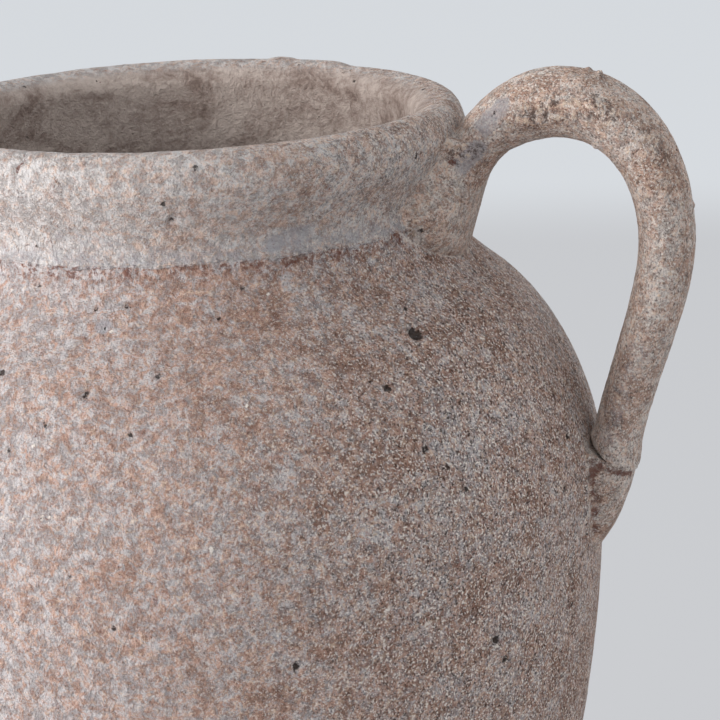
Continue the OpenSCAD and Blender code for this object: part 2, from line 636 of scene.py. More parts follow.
@dataclass(frozen=True)
class Relief:
    """The clay's general unevenness, pressed into a piece along its push_way directions."""

    wobble: float = 0.45 * MM
    lumps: float = 0.32 * MM
    grain: float = 0.16 * MM
    rings: float = 0.0
    crust: float = 0.0
    wobble_noise: Pattern = Pattern(9.0, 1.0)
    lump_noise: Pattern = Pattern(62.0, 2.0, 0.6)
    grain_noise: Pattern = Pattern(330.0, 3.0, 0.65)
    ring_noise: Pattern = Pattern(1.0, 3.0, 0.6)
    ring_counts: tuple[float, float, float] = (5.0, 5.0, 260.0)
    crust_noise: Pattern = Pattern(300.0, 4.0, 0.7)
    crust_level: float = 0.42

    def tree(self) -> bpy.types.NodeTree:
        """Builds the geometry node tree that moves each vertex."""
        tree = bpy.data.node_groups.new("clay_relief", "GeometryNodeTree")
        tree.interface.new_socket("Geometry", in_out="INPUT", socket_type="NodeSocketGeometry")
        tree.interface.new_socket("Geometry", in_out="OUTPUT", socket_type="NodeSocketGeometry")
        graph = Graph(tree)
        source = graph.node("NodeGroupInput")
        place = Wire(graph, graph.node("GeometryNodeInputPosition").outputs[0])
        height = (graph.noise(place, self.wobble_noise) - 0.5) * (2.0 * self.wobble)
        height = height + (graph.noise(place, self.lump_noise) - 0.5) * (2.0 * self.lumps)
        height = height + (graph.noise(place, self.grain_noise) - 0.5) * (2.0 * self.grain)
        if self.rings:
            drawn = place * self.ring_counts
            height = height + (graph.noise(drawn, self.ring_noise) - 0.5) * (2.0 * self.rings)
        if self.crust:
            patch = self._attribute(graph, Tint.CRUST.value)
            flakes = graph.noise(place, self.crust_noise) - self.crust_level
            height = height + patch * flakes * (4.0 * self.crust)
        way = self._attribute(graph, ARROW, "FLOAT_VECTOR")
        offset = graph.node("ShaderNodeVectorMath", {"operation": "SCALE"}, {0: way, "Scale": height})
        moved = graph.node(
            "GeometryNodeSetPosition", {},
            {"Geometry": Wire(graph, source.outputs[0]), "Offset": Wire(graph, offset.outputs[0])},
        )
        graph.node("NodeGroupOutput", {}, {0: Wire(graph, moved.outputs[0])})
        return tree

    def _attribute(self, graph: Graph, name: str, kind: str = "FLOAT") -> Wire:
        """Reads a stored number or vector of each vertex.

        Args:
            graph: The node tree that reads it.
            name: The name it is stored under.
            kind: Whether it is a number or a vector.

        Returns:
            The value.
        """
        made = graph.node("GeometryNodeInputNamedAttribute", {"data_type": kind}, {"Name": name})
        return Wire(graph, made.outputs[0])

    def press_into(self, piece: bpy.types.Object) -> None:
        """Moves the piece's vertices and applies the change.

        Args:
            piece: The piece.
        """
        modifier = piece.modifiers.new("relief", "NODES")
        modifier.node_group = self.tree()
        apply_modifier(piece, modifier)


BROAD = Pattern(14.0, 3.0, 0.5)
SMEARS = Pattern(26.0, 7.0, 0.66, 0.6)
PATCHY = Pattern(60.0, 3.0, 0.6, shift=4.4)
TONE = Pattern(230.0, 5.0, 0.80, shift=3.7)
GROUND = Pattern(290.0, 5.0, 0.78, 0.9)
CLUMPS = Pattern(290.0, 5.0, 0.74, 0.6, 9.1)
SCALES = Pattern(330.0, 4.0, 0.75, shift=2.2)
GRAIN = Pattern(560.0, 4.0, 0.70)
SPOTS = Pattern(620.0, 4.0, 0.70, shift=1.9)
GRIT = Pattern(1150.0, 2.0, 0.7, shift=7.7)
CREST = Pattern(1200.0, 2.0, 0.65, shift=5.3)
LINES = Pattern(1.0, 3.0, 0.6)


class Clay:
    """The wires that the steps of one clay finish share.

    Towards the jar's left the ground is a little greyer. Towards its right, away from the lamp, the grit's
    painted shade and painted highlights grow stronger, standing in for the shading its bumps lack there,
    and the rust and tan flecks and the darker patches grow stronger too.
    """

    def __init__(self, graph: Graph, speckle_and_grit_shading: float) -> None:
        """Lays out the shared patterns.

        Args:
            graph: The finish's node tree.
            speckle_and_grit_shading: How strong its flecks and patches are, and the grit's painted shade
                and highlights.
        """
        self.graph = graph
        self.place = Wire(graph, graph.node("ShaderNodeTexCoord").outputs["Object"])
        across, _, self.height = graph.parts(self.place)
        # Towards the right, away from the lamp, the grit gets stronger painted shade and painted
        # highlights.
        self.left_side = across.rise(0.06, -0.04)
        self.right_side = across.rise(-0.03, 0.13)
        # How strong the dark spots are, and the grit's painted shade in hollows and painted highlights on
        # crests.
        self.fleck_and_grit_shading = (self.right_side * self.right_side * 0.95 + 0.16) * speckle_and_grit_shading
        self.grain = self.noise(GRAIN)
        self.grit = self.noise(GRIT)
        self.clumps = self.noise(CLUMPS)
        self.patchy = self.noise(PATCHY)

    def noise(self, pattern: Pattern) -> Wire:
        """A noise on the clay's own coordinates."""
        return self.graph.noise(self.place, pattern)

    def stored(self, name: str) -> Wire:
        """A number that is stored for each vertex."""
        made = self.graph.node("ShaderNodeAttribute", {"attribute_name": name})
        return Wire(self.graph, made.outputs["Fac"])

    def darken(self, share: Wire, colour: Wire, shade: Colour) -> Wire:
        """Multiplies part of a colour by a shade.

        Args:
            share: How much of the colour is darkened.
            colour: The colour.
            shade: What it is multiplied by.

        Returns:
            The colour with its darker parts.
        """
        darker = self.graph.blend(1.0, colour, shade, "MULTIPLY")
        return self.graph.blend(share, colour, darker)


@dataclass(frozen=True)
class ClayFinish:
    """Weathered unglazed clay: a brick ground under pale bloom, with grit, flecks, pits and stains, and
    painted shade in the grit's hollows, its pits and some creases, with painted highlights on the grit's
    crests.
    """

    name: str
    redness: float = 0.0
    lines: float = 0.0
    seam: bool = False
    seam_z: float = 341 * MM
    # Strength of the flecks and patches, and of the grit's painted shade and painted highlights.
    speckle_and_grit_shading: float = 1.0
    line_counts: tuple[float, float, float] = (9.0, 9.0, 620.0)
    smear_counts: tuple[float, float, float] = (1.0, 1.0, 1.7)
    chips_per_metre: float = 84.0
    grain_depth: float = 1.3 * MM
    grit_depth: float = 0.8 * MM
    clump_depth: float = 1.5 * MM
    hole_depth: float = 0.7 * MM
    bloom: Colour = linear(196, 190, 191)
    brick: Colour = linear(188, 152, 136)
    tan: Colour = linear(223, 200, 179)
    rust: Colour = linear(146, 100, 86)
    cream: Colour = linear(240, 231, 223)
    dark: Colour = linear(80, 62, 55)
    slate: Colour = linear(164, 162, 167)
    inner_light: Colour = linear(206, 190, 181)
    inner_dark: Colour = linear(146, 127, 118)
    red: Colour = linear(104, 62, 52)
    # Painted shade for the inside of chips and pits.
    painted_hole_shade: Colour = linear(46, 37, 34)
    tone_shade: Colour = linear(212, 209, 208)
    patch_shade: Colour = linear(214, 204, 198)
    # Painted shade for the grit's hollows.
    hollow_shade: Colour = linear(110, 98, 93)

    def material(self) -> bpy.types.Material:
        """Builds the material."""
        made = bpy.data.materials.new(self.name)
        made.use_nodes = True
        clay = Clay(Graph(made.node_tree), self.speckle_and_grit_shading)
        inner = clay.stored(INSIDE)
        hole = self._holes(clay)
        colour = self._flecks(clay, self._ground(clay))
        if self.seam:
            colour = self._seam(clay, colour)
        colour = self._known(clay, colour)
        colour = clay.graph.blend(inner, colour, self._within(clay))
        # Red stains at random and at the red marks, and painted shade where a red mark lies in a crease.
        stain_and_shade = clay.stored(Tint.RED.value) * 0.7 + (clay.clumps - 0.5) * 2.2 + (clay.grit - 0.5) * 1.6
        colour = clay.graph.blend(stain_and_shade.rise(0.38, 0.74) * 0.8, colour, self.red)
        # Painted shade: the chips and pits are darkened almost to black.
        colour = clay.graph.blend(hole * 0.9, colour, self.painted_hole_shade)
        height = self._height(clay, hole, inner)
        bump = clay.graph.node("ShaderNodeBump", {}, {"Strength": 1.0, "Distance": 1.0, "Height": height})
        shader = clay.graph.node(
            "ShaderNodeBsdfPrincipled",
            {},
            {
                "Base Color": colour,
                "Roughness": clay.grain * 0.16 + 0.80,
                "IOR": 1.45,
                "Specular IOR Level": 0.25,
                "Normal": Wire(clay.graph, bump.outputs[0]),
            },
        )
        clay.graph.node("ShaderNodeOutputMaterial", {}, {"Surface": Wire(clay.graph, shader.outputs[0])})
        return made

    def _ground(self, clay: Clay) -> Wire:
        """The colour under the flecks: bloom and brick broken up, with rust, tan and dark patches.

        Args:
            clay: The finish's shared wires.

        Returns:
            The colour.
        """
        blend = clay.graph.blend
        broad = clay.noise(BROAD) - 0.5
        share = clay.noise(GROUND) + broad * 0.18 - clay.left_side * 0.045 + (clay.grain - 0.5) * 0.26
        share = share + (clay.patchy - 0.5) * (clay.right_side * 0.26 + 0.04) + clay.right_side * 0.025
        colour = blend(share.rise(0.38 - self.redness, 0.60 - self.redness), self.bloom, self.brick)
        rusty = (clay.clumps * 0.65 + clay.grit * 0.35).rise(0.51, 0.62)
        colour = blend(rusty * (clay.right_side * 0.25 + 0.42) * self.speckle_and_grit_shading, colour, self.rust)
        tanned = (clay.grain * 0.7 + clay.grit * 0.3).rise(0.52, 0.64)
        colour = blend(tanned * (clay.right_side * 0.45 + 0.45), colour, self.tan)
        colour = clay.darken(clay.noise(TONE).rise(0.56, 0.44), colour, self.tone_shade)
        patches = (clay.patchy * 0.7 + clay.clumps * 0.3).rise(0.50, 0.60)
        return clay.darken(patches * clay.right_side * self.speckle_and_grit_shading * 0.8, colour, self.patch_shade)

    def _flecks(self, clay: Clay, colour: Wire) -> Wire:
        """Adds the coarse grit: painted shade in its hollows, painted cream highlights on its crests, and
        dark spots.

        Args:
            clay: The finish's shared wires.
            colour: The colour so far.

        Returns:
            The new colour.
        """
        # Painted shade in the grit's hollows, where its bumps dip.
        painted_hollow_shade = (clay.grit * 0.7 + clay.grain * 0.3).rise(0.50, 0.38)
        colour = clay.darken(painted_hollow_shade * clay.fleck_and_grit_shading, colour, self.hollow_shade)
        # Painted cream highlights on the grit's crests.
        painted_crest_highlights = clay.noise(CREST).rise(0.54, 0.64)
        colour = clay.graph.blend(painted_crest_highlights * clay.fleck_and_grit_shading * 0.95, colour, self.cream)
        spots = clay.noise(SPOTS).rise(0.40, 0.33)
        return clay.graph.blend(spots * (clay.fleck_and_grit_shading * 0.5 + 0.35), colour, self.dark)

    def _seam(self, clay: Clay, colour: Wire) -> Wire:
        """Adds the broken slate band over the neck seam and the red crust under it.

        Args:
            clay: The finish's shared wires.
            colour: The colour so far.

        Returns:
            The new colour.
        """
        above = clay.height - self.seam_z
        band = above.rise(0.0, 1 * MM) * above.rise(8.5 * MM, 2 * MM)
        colour = clay.graph.blend(band * clay.clumps.rise(0.42, 0.56) * 0.55, colour, self.slate)
        under = above.rise(-8 * MM, -2 * MM) * above.rise(0.6 * MM, -0.3 * MM)
        broken = (clay.clumps * 0.5 + clay.grain * 0.5).rise(0.49, 0.58)
        return clay.graph.blend(under * broken * 0.75, colour, self.red)

    def _known(self, clay: Clay, colour: Wire) -> Wire:
        """Adds the grey smears, the lime and the crusts that are stored as marks.

        Args:
            clay: The finish's shared wires.
            colour: The colour so far.

        Returns:
            The new colour.
        """
        blend = clay.graph.blend
        grey = clay.stored(Tint.GREY.value) + (clay.clumps - 0.5) * 1.5
        colour = blend(grey.rise(0.25, 0.85) * 0.65, colour, self.slate)
        pale = clay.stored(Tint.PALE.value) + (clay.grain - 0.5) * 1.6
        colour = blend(pale.rise(0.45, 0.95) * 0.8, colour, self.cream)
        crust = clay.stored(Tint.CRUST.value)
        scales = clay.noise(SCALES)
        colour = blend(crust * scales.rise(0.49, 0.40) * 0.8, colour, self.dark)
        return blend(crust * scales.rise(0.54, 0.60) * 0.65, colour, self.tan)

    def _within(self, clay: Clay) -> Wire:
        """The plainer, smeared colour inside the jar.

        Args:
            clay: The finish's shared wires.

        Returns:
            The colour.
        """
        smears = clay.graph.noise(clay.place * self.smear_counts, SMEARS)
        light = (smears * 0.6 + clay.clumps * 0.4).rise(0.38, 0.62)
        colour = clay.graph.blend(light, self.inner_dark, self.inner_light)
        dark = (smears * 0.7 + clay.clumps * 0.3).rise(0.46, 0.38)
        return clay.graph.blend(dark * 0.25, colour, self.dark)

    def _holes(self, clay: Clay) -> Wire:
        """Where the surface is chipped away: scattered chips, and the pits that are stored as marks.

        Args:
            clay: The finish's shared wires.

        Returns:
            The share of hole, from 0 to 1.
        """
        far, chance = clay.graph.cells(clay.place, self.chips_per_metre)
        chips = (far + (clay.grain - 0.5) * 0.45).rise(0.08, 0.03) * chance.rise(0.66, 0.72)
        known = clay.stored(Tint.PIT.value) + (clay.grain - 0.5) * 1.9 + (clay.clumps - 0.5) * 2.0
        return chips.larger(known.rise(0.50, 0.68))

    def _height(self, clay: Clay, hole: Wire, inner: Wire) -> Wire:
        """The fine relief: grit and clumps, holes, and on a thrown wall its drawn-out lines.

        Args:
            clay: The finish's shared wires.
            hole: The share of hole.
            inner: How far inside the jar the surface is.

        Returns:
            The height, in metres.
        """
        height = (clay.grain - 0.5) * self.grain_depth + (clay.grit - 0.5) * self.grit_depth
        height = height + (clay.clumps - 0.5) * self.clump_depth
        height = height - hole * self.hole_depth
        if self.lines:
            drawn_out = clay.graph.noise(clay.place * self.line_counts, LINES)
            height = height + (drawn_out - 0.5) * self.lines * (1.0 - inner)
        return height


def dress(piece: bpy.types.Object, finish: bpy.types.Material, slot: Slot, *nodes: str) -> None:
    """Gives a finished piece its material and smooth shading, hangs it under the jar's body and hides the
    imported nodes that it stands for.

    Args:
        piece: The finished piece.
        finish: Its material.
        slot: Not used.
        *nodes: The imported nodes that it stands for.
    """
    piece.data.materials.clear()
    piece.data.materials.append(finish)
    take(piece)
    bpy.ops.object.shade_smooth_by_angle(angle=math.radians(50))
    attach(piece, BODY)
    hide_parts(*nodes)
    LOG.info("%s: %d faces", piece.name, len(piece.data.polygons))


def on_skin(outline: Outline, azimuth: float, height: float) -> Spot:
    """A point on the jar's skin for an azimuth in degrees and a height, all in millimetres.

    Args:
        outline: The jar's outline.
        azimuth: The azimuth, in degrees.
        height: The height, in millimetres.

    Returns:
        X, Y and Z in millimetres.
    """
    radius = float(outline.radius(np.array([height * MM]))[0]) / MM
    angle = math.radians(azimuth)
    return (radius * math.cos(angle), radius * math.sin(angle), height)


# ---------------------------------------------------------------------------------------------------------
# The thrown walls
# ---------------------------------------------------------------------------------------------------------


@dataclass
class Wall:
    """One thrown part of the jar: a closed section turned about the axis."""

    name: str
    node: str
    slot: Slot
    finish: bpy.types.Material
    relief: Relief
    outline: Outline
    low: float
    high: float
    marks: Sequence[Mark] = ()
    spacing: float = 1.35 * MM
    inner_spacing: float = 8 * MM
    steps: int = 720

    def outer(self) -> list[tuple[float, float]]:
        """The outer rows, from low to high."""
        rows = self.outline.rows(self.low, self.high, self.spacing)
        return list(zip(self.outline.radius(rows), rows))

    def inner(self) -> list[tuple[float, float]]:
        """The inner rows, from high to low."""
        rows = self.outline.rows(self.low, self.high, self.inner_spacing)[::-1]
        return [(float(r) - self.outline.wall, z) for r, z in zip(self.outline.radius(rows), rows)]

    def push_ways(self, piece: bpy.types.Object) -> np.ndarray:
        """The direction in which each vertex moves, the same in two pieces where they meet.

        Args:
            piece: The wall.

        Returns:
            One direction for each vertex.
        """
        points = places(piece)
        radius, azimuth, z = polar(points)
        way = facings(piece)
        radial, upright = self.outline.facing(z)
        around = np.stack([np.cos(azimuth) * radial, np.sin(azimuth) * radial, upright], axis=1)
        outside = np.abs(radius - self.outline.radius(z)) < 0.1 * MM
        way[outside] = around[outside]
        near = 0.01 * MM
        hidden = (np.abs(z - self.low) < near) | (np.abs(z - self.high) < near)
        inside = hidden & ~outside
        flat = np.stack([-np.cos(azimuth), -np.sin(azimuth), np.zeros_like(z)], axis=1)
        way[inside] = flat[inside]
        return way

    def build(self) -> bpy.types.Object:
        """Makes the wall, presses its relief and dresses it.

        Returns:
            The finished piece.
        """
        piece = turned(self.outer() + self.inner(), self.name, self.steps)
        radius, _, z = polar(places(piece))
        way = self.push_ways(piece)
        depth = (self.outline.radius(z) - radius) / self.outline.wall
        top = self.outline.height
        store(piece, INSIDE, smooth(0.25, 0.75, depth) * smooth(top - 0.5 * MM, top - 3.5 * MM, z))
        mark_all(piece, way, self.marks)
        self.relief.press_into(piece)
        dress(piece, self.finish, self.slot, self.node)
        return piece


def mark_all(piece: bpy.types.Object, way: np.ndarray, marks: Sequence[Mark]) -> None:
    """Presses known marks into a piece and stores what the finish and the relief read.

    Args:
        piece: The piece.
        way: Its outward directions.
        marks: The marks.
    """
    points = places(piece)
    moved = points.copy()
    tints = {tint: np.zeros(len(points)) for tint in Tint}
    for mark in marks:
        share = mark.press(points)
        moved += way * (share * mark.depth * MM)[:, None]
        tints[mark.tint] = np.maximum(tints[mark.tint], share * mark.strength)
    put(piece, moved)
    store(piece, ARROW, way)
    for tint, shares in tints.items():
        if tint is not Tint.NONE:
            store(piece, tint.value, shares)


class Foot(Wall):
    """The base disc: a plain floor with a rounded edge."""

    def outer(self) -> list[tuple[float, float]]:
        """The underside's edge and the short outer wall above it."""
        shape = self.outline
        rounded = [
            (shape.foot_r - shape.foot_edge + shape.foot_edge * math.sin(angle),
             shape.foot_edge - shape.foot_edge * math.cos(angle))
            for angle in np.linspace(0, math.pi / 2, 6)
        ]
        rows = np.linspace(shape.foot_edge, self.high, 7)[1:]
        end = float(shape.radius(np.array([self.high]))[0])
        share = (rows - shape.foot_edge) / (self.high - shape.foot_edge)
        return rounded + [(shape.foot_r + (end - shape.foot_r) * s, z) for s, z in zip(share, rows)]

    def inner(self) -> list[tuple[float, float]]:
        """The floor inside the jar, then the underside out to its edge."""
        floor = np.linspace(self.outline.foot_r, 0.0, 24)
        under = np.linspace(0.0, self.outline.foot_r - self.outline.foot_edge, 24)[:-1]
        return [(r, self.high) for r in floor] + [(r, 0.0) for r in under]

    def push_ways(self, piece: bpy.types.Object) -> np.ndarray:
        """Outward at the wall, nothing on the resting face and the seat of the bowl.

        Args:
            piece: The foot.

        Returns:
            One direction for each vertex.
        """
        points = places(piece)
        radius, azimuth, z = polar(points)
        way = np.stack([np.cos(azimuth), np.sin(azimuth), np.zeros_like(z)], axis=1)
        way[z < 0.5 * MM] = 0.0
        floor = (z > self.high - 0.1 * MM) & (radius < self.outline.foot_r - 2 * MM)
        way[floor] = (0.0, 0.0, 1.0)
        return way


@dataclass
class Bowl(Wall):
    """The lower body, with closer rows on its upper part."""

    coarse_drop: float = 72 * MM
    coarse_spacing: float = 4.2 * MM

    def outer(self) -> list[tuple[float, float]]:
        """Rows close together near the belly and wider apart below."""
        change = self.outline.belly_z - self.coarse_drop
        low = self.outline.rows(self.low, change, self.coarse_spacing)
        high = self.outline.rows(change, self.high, self.spacing)
        rows = np.concatenate([low, high[1:]])
        return list(zip(self.outline.radius(rows), rows))


class Neck(Wall):
    """The neck collar, straight inside."""

    def inner(self) -> list[tuple[float, float]]:
        """The straight inner wall."""
        return [(self.outline.throat_r, z) for z in np.linspace(self.high, self.low, 16)]


@dataclass
class Lip(Wall):
    """The rounded lip with its soft inner bevel."""

    bevel_pull: float = 4.5 * MM
    bevel_lean: float = 1.5 * MM

    def outer(self) -> list[tuple[float, float]]:
        """The flare up to the widest ring, and the roll over to the top ring."""
        shape = self.outline
        widest = shape.height - shape.widest_drop
        rows = list(shape.rows(self.low, widest, self.spacing))
        flare = list(zip(shape.radius(np.array(rows)), rows))
        roll = [
            (shape.ring_r + (shape.lip_r - shape.ring_r) * math.cos(angle),
             widest + shape.widest_drop * math.sin(angle))
            for angle in np.linspace(0, math.pi / 2, 13)[1:]
        ]
        return flare + roll

    def inner(self) -> list[tuple[float, float]]:
        """The bevel down to the throat, and the throat below it."""
        shape = self.outline
        low = shape.height - shape.bevel_drop
        hull = np.array([
            [shape.ring_r, shape.height],
            [shape.ring_r - self.bevel_pull, shape.height],
            [shape.throat_r + self.bevel_lean, low + self.bevel_pull],
            [shape.throat_r, low],
        ])
        bevel = bezier(hull, np.linspace(0, 1, 14))[1:]
        throat = [(shape.throat_r, z) for z in np.linspace(low, self.low, 10)[1:]]
        return [(float(r), float(z)) for r, z in bevel] + throat


@dataclass
class SeamSlip:
    """The thin broken line of pale slip left where the neck was luted onto the shoulder."""

    outline: Outline
    finish: bpy.types.Material
    relief: Relief
    half: float = 0.75 * MM
    pale: float = 0.4
    mean: float = 0.50
    swell: float = 0.17
    thinnest: float = 0.1
    thickest: float = 1.1
    swells: tuple[tuple[int, float], ...] = ((7, 0.6), (23, 2.1), (61, 4.0), (149, 1.3), (211, 5.0))
    sway: float = 0.35 * MM
    sways: tuple[tuple[int, float, float], ...] = ((5, 1.0, 1.0), (17, 2.6, 1.0), (41, 0.0, 0.6))
    steps: int = 1080
    sides: int = 10

    def build(self) -> bpy.types.Object:
        """Makes the line as a thin uneven ring.

        Returns:
            The finished piece.
        """
        angles = np.linspace(0, math.tau, self.sides, endpoint=False)
        centre_r, centre_z = self.outline.seam_r, self.outline.neck_z
        section = [
            (centre_r + self.half * math.cos(angle), centre_z + self.half * math.sin(angle))
            for angle in angles
        ]
        piece = turned(section, "neck_seam_slip", self.steps)
        points = places(piece)
        radius, azimuth, z = polar(points)
        full = self.mean + sum(self.swell * np.sin(waves * azimuth + start) for waves, start in self.swells)
        full = np.clip(full, self.thinnest, self.thickest)
        drift = self.sway * sum(
            share * np.sin(waves * azimuth + start) for waves, start, share in self.sways
        )
        out_r = centre_r + (radius - centre_r) * full
        out_z = centre_z + (z - centre_z) * full + drift
        put(piece, np.stack([out_r * np.cos(azimuth), out_r * np.sin(azimuth), out_z], axis=1))
        radial, upright = self.outline.facing(z)
        store(piece, ARROW, np.stack([np.cos(azimuth) * radial, np.sin(azimuth) * radial, upright], axis=1))
        store(piece, Tint.PALE.value, np.full(len(points), self.pale))
        self.relief.press_into(piece)
        dress(piece, self.finish, Slot.SLIP, "neck_seam_coil")
        return piece


# ---------------------------------------------------------------------------------------------------------
# The handles
# ---------------------------------------------------------------------------------------------------------


@dataclass(frozen=True)
class Strap:
    """The path and the section of one pulled strap, on the jar's right side."""

    outline: Outline
    reach: float
    arch_z: float
    root_x: float = 92 * MM
    root_drop: float = 29.5 * MM
    root_pull_x: float = 13.4 * MM
    root_pull_drop: float = 16.6 * MM
    arch_x: float = 137.6 * MM
    arch_pull_in: float = 18.9 * MM
    arch_pull_out: float = 22.5 * MM
    outer_drop: float = 47.7 * MM
    outer_pull_up: float = 27.6 * MM
    outer_pull_down: float = 25.4 * MM
    leg_x: float = 153.2 * MM
    leg_drop: float = 6 * MM
    leg_lean: float = 0.7 * MM
    leg_pull: float = 24.5 * MM
    root_t: float = 13.8 * MM
    arch_t: float = 24.5 * MM
    outer_t: float = 19.8 * MM
    leg_t: float = 17.4 * MM
    fold_z: float = 253.7 * MM
    fold_slope: float = 0.54
    fold_thin: float = 0.92
    fold_taper: float = 2 * MM
    root_thin: float = 0.45
    root_taper: float = 6 * MM
    width: float = 31 * MM
    reach_inset: float = 9.5 * MM

    @classmethod
    def from_frame(cls, outline: Outline) -> "Strap":
        """Reads the strap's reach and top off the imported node.

        Args:
            outline: The jar's outline.

        Returns:
            The strap.
        """
        _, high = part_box("handle_right")
        digits = 4
        return cls(outline, round(high.x - cls.reach_inset, digits), round(high.z - cls.arch_t / 2, digits))

    def curves(self) -> list[np.ndarray]:
        """The three curves of the path: up from the root, over the arch, and down the leg."""
        top = self.outline.height
        outer_z = top - self.outer_drop
        leg_z = self.outline.belly_z - self.leg_drop
        root = [self.root_x, top - self.root_drop]
        root_pull = [self.root_x + self.root_pull_x, top - self.root_pull_drop]
        arch_in = [self.arch_x - self.arch_pull_in, self.arch_z]
        arch = [self.arch_x, self.arch_z]
        arch_out = [self.arch_x + self.arch_pull_out, self.arch_z]
        outer_up = [self.reach, outer_z + self.outer_pull_up]
        outer = [self.reach, outer_z]
        outer_down = [self.reach, outer_z - self.outer_pull_down]
        leg_pull = [self.leg_x - self.leg_lean, leg_z + self.leg_pull]
        leg = [self.leg_x, leg_z]
        return [
            np.array([root, root_pull, arch_in, arch]),
            np.array([arch, arch_out, outer_up, outer]),
            np.array([outer, outer_down, leg_pull, leg]),
        ]

    def full_half(self, count: int) -> np.ndarray:
        """The half thickness at evenly spaced points down to the fold, before the ends are tapered."""
        return self._run(count, True)[1]

    def path(self, count: int, folded: bool = False) -> tuple[np.ndarray, np.ndarray]:
        """Evenly spaced points along the path, with the half thickness at each, tapered at the two ends.

        Args:
            count: How many points.
            folded: Whether the path ends at the fold over the foot.

        Returns:
            The points as X and Z, and the half thicknesses.
        """
        points, halves, along = self._run(count, folded)
        root = self.root_thin + (1.0 - self.root_thin) * smooth(0.0, self.root_taper, along)
        foot = self.fold_thin + (1.0 - self.fold_thin) * smooth(0.0, self.fold_taper, along[-1] - along)
        return points, halves * root * foot

    def _run(self, count: int, folded: bool) -> tuple[np.ndarray, np.ndarray, np.ndarray]:
        """Evenly spaced points along the path, with the half thickness and the way gone at each.

        Args:
            count: How many points.
            folded: Whether the path ends at the fold over the foot.

        Returns:
            The points as X and Z, the half thicknesses, and the way gone along the path.
        """
        share = np.linspace(0, 1, 60)
        points = np.concatenate([bezier(hull, share) for hull in self.curves()])
        soon = np.minimum(1.5 * share, 1.0)
        halves = np.concatenate([
            eased(self.root_t, self.arch_t, share),
            eased(self.arch_t, self.outer_t, share),
            eased(self.outer_t, self.leg_t, soon),
        ]) / 2
        along = np.concatenate([[0.0], np.cumsum(np.hypot(*np.diff(points, axis=0).T))])
        over = self.fold_z - self.curves()[-1][-1, 1] if folded else 0.0
        even = np.linspace(0, along[-1] - over, count)
        even_points = np.stack([np.interp(even, along, column) for column in points.T], axis=1)
        return even_points, np.interp(even, along, halves), even

    def ways(self, path: np.ndarray) -> np.ndarray:
        """The direction out of the arch at each point of the path, as X and Z.

        Args:
            path: The path, as X and Z.

        Returns:
            One unit vector for each point.
        """
        way = np.gradient(path, axis=0)
        way /= np.linalg.norm(way, axis=1)[:, None]
        return np.stack([-way[:, 1], way[:, 0]], axis=1)

    def distance(self, points: np.ndarray) -> np.ndarray:
        """Roughly how far each point is from the strap's surface, less than zero inside.

        Args:
            points: Where it is asked for.

        Returns:
            One distance for each point.
        """
        path, half = self.path(130)
        outward = self.ways(path)
        flat = points[:, [0, 2]]
        nearest = np.empty(len(points), int)
        batch = 20000
        for start in range(0, len(points), batch):
            part = flat[start:start + batch]
            nearest[start:start + batch] = ((part[:, None, :] - path[None]) ** 2).sum(2).argmin(1)
        away = flat - path[nearest]
        across = (away * outward[nearest]).sum(1)
        along = np.sqrt(np.maximum((away**2).sum(1) - across**2, 0.0))
        ends = (nearest == 0) | (nearest == len(path) - 1)
        reach = np.sqrt((across / half[nearest]) ** 2 + (points[:, 1] / (self.width / 2)) ** 2) + TINY
        scale = np.hypot(across, points[:, 1]) / reach
        none = 0.001 * MM
        scale = np.where(scale < none, half[nearest], scale)
        gap = (reach - 1.0) * scale
        beyond = np.hypot(np.maximum(gap, 0.0), along) + np.minimum(gap, 0.0) * (along < none)
        return np.where(ends, beyond, gap)


@dataclass(frozen=True)
class Egg:
    """A lump of clay: tall, leaning outwards, and blunt-cornered seen from above."""

    at: tuple[float, float, float]
    half: tuple[float, float, float]
    lean: float
    blunt: float
    furthest: float = 40 * MM

    def distance(self, points: np.ndarray) -> np.ndarray:
        """Roughly how far each point is from the lump's surface.

        Args:
            points: Where it is asked for.

        Returns:
            One distance for each point.
        """
        away = points - np.array(self.at)
        away[:, 0] -= self.lean * away[:, 2]
        out, side, up = np.abs(away / np.array(self.half)).T
        plan = (out**self.blunt + side**self.blunt) ** (1.0 / self.blunt)
        reach = np.hypot(plan, up) + TINY
        return (reach - 1.0) * np.minimum(np.linalg.norm(away, axis=1) / reach, self.furthest)


@dataclass(frozen=True)
class Apron:
    """The tongue of clay smoothed down the neck below a strap's root, with a rounded lower edge."""

    outline: Outline
    low: float = 325.8 * MM
    tall: float = 17 * MM
    spread: float = math.radians(20.5)
    foot_r: float = 102.9 * MM
    slope: float = 0.22
    hollow: float = 3.4
    narrowing: float = 0.4
    sunk: float = 7 * MM

    def distance(self, points: np.ndarray) -> np.ndarray:
        """Roughly how far each point is from the tongue's face.

        The face dips under the skin beside the tongue. Its lower edge is an arc. Higher up the tongue
        narrows and its sides run out more softly.

        Args:
            points: Where it is asked for.

        Returns:
            One distance for each point.
        """
        radius, azimuth, z = polar(points)
        above = np.maximum(z - self.low, 0.0)
        face = self.foot_r + self.slope * above + self.hollow * above**2
        rounded = np.sqrt(np.clip(1.0 - (1.0 - above / self.tall) ** 2, 0.004, 1.0))
        rounded = np.where(above > self.tall, 1.0, rounded)
        soft = smooth(self.tall, 2 * self.tall, above)
        narrower = 1.0 - self.narrowing * smooth(1.1 * self.tall, 2.4 * self.tall, above)
        half = self.spread * rounded * narrower
        cap = np.clip(1.0 - (np.abs(azimuth) / half) ** (4.0 - 1.6 * soft), 0.0, 1.0) ** (0.7 + 0.5 * soft)
        under = self.outline.radius(z) - self.sunk
        return radius - under - (face - under) * cap


def melt(first: np.ndarray, second: np.ndarray, width: float) -> np.ndarray:
    """The nearer of two surfaces' distances, with the crease between them filled smoothly."""
    share = np.clip(0.5 + 0.5 * (second - first) / width, 0.0, 1.0)
    return second + (first - second) * share - width * share * (1.0 - share)


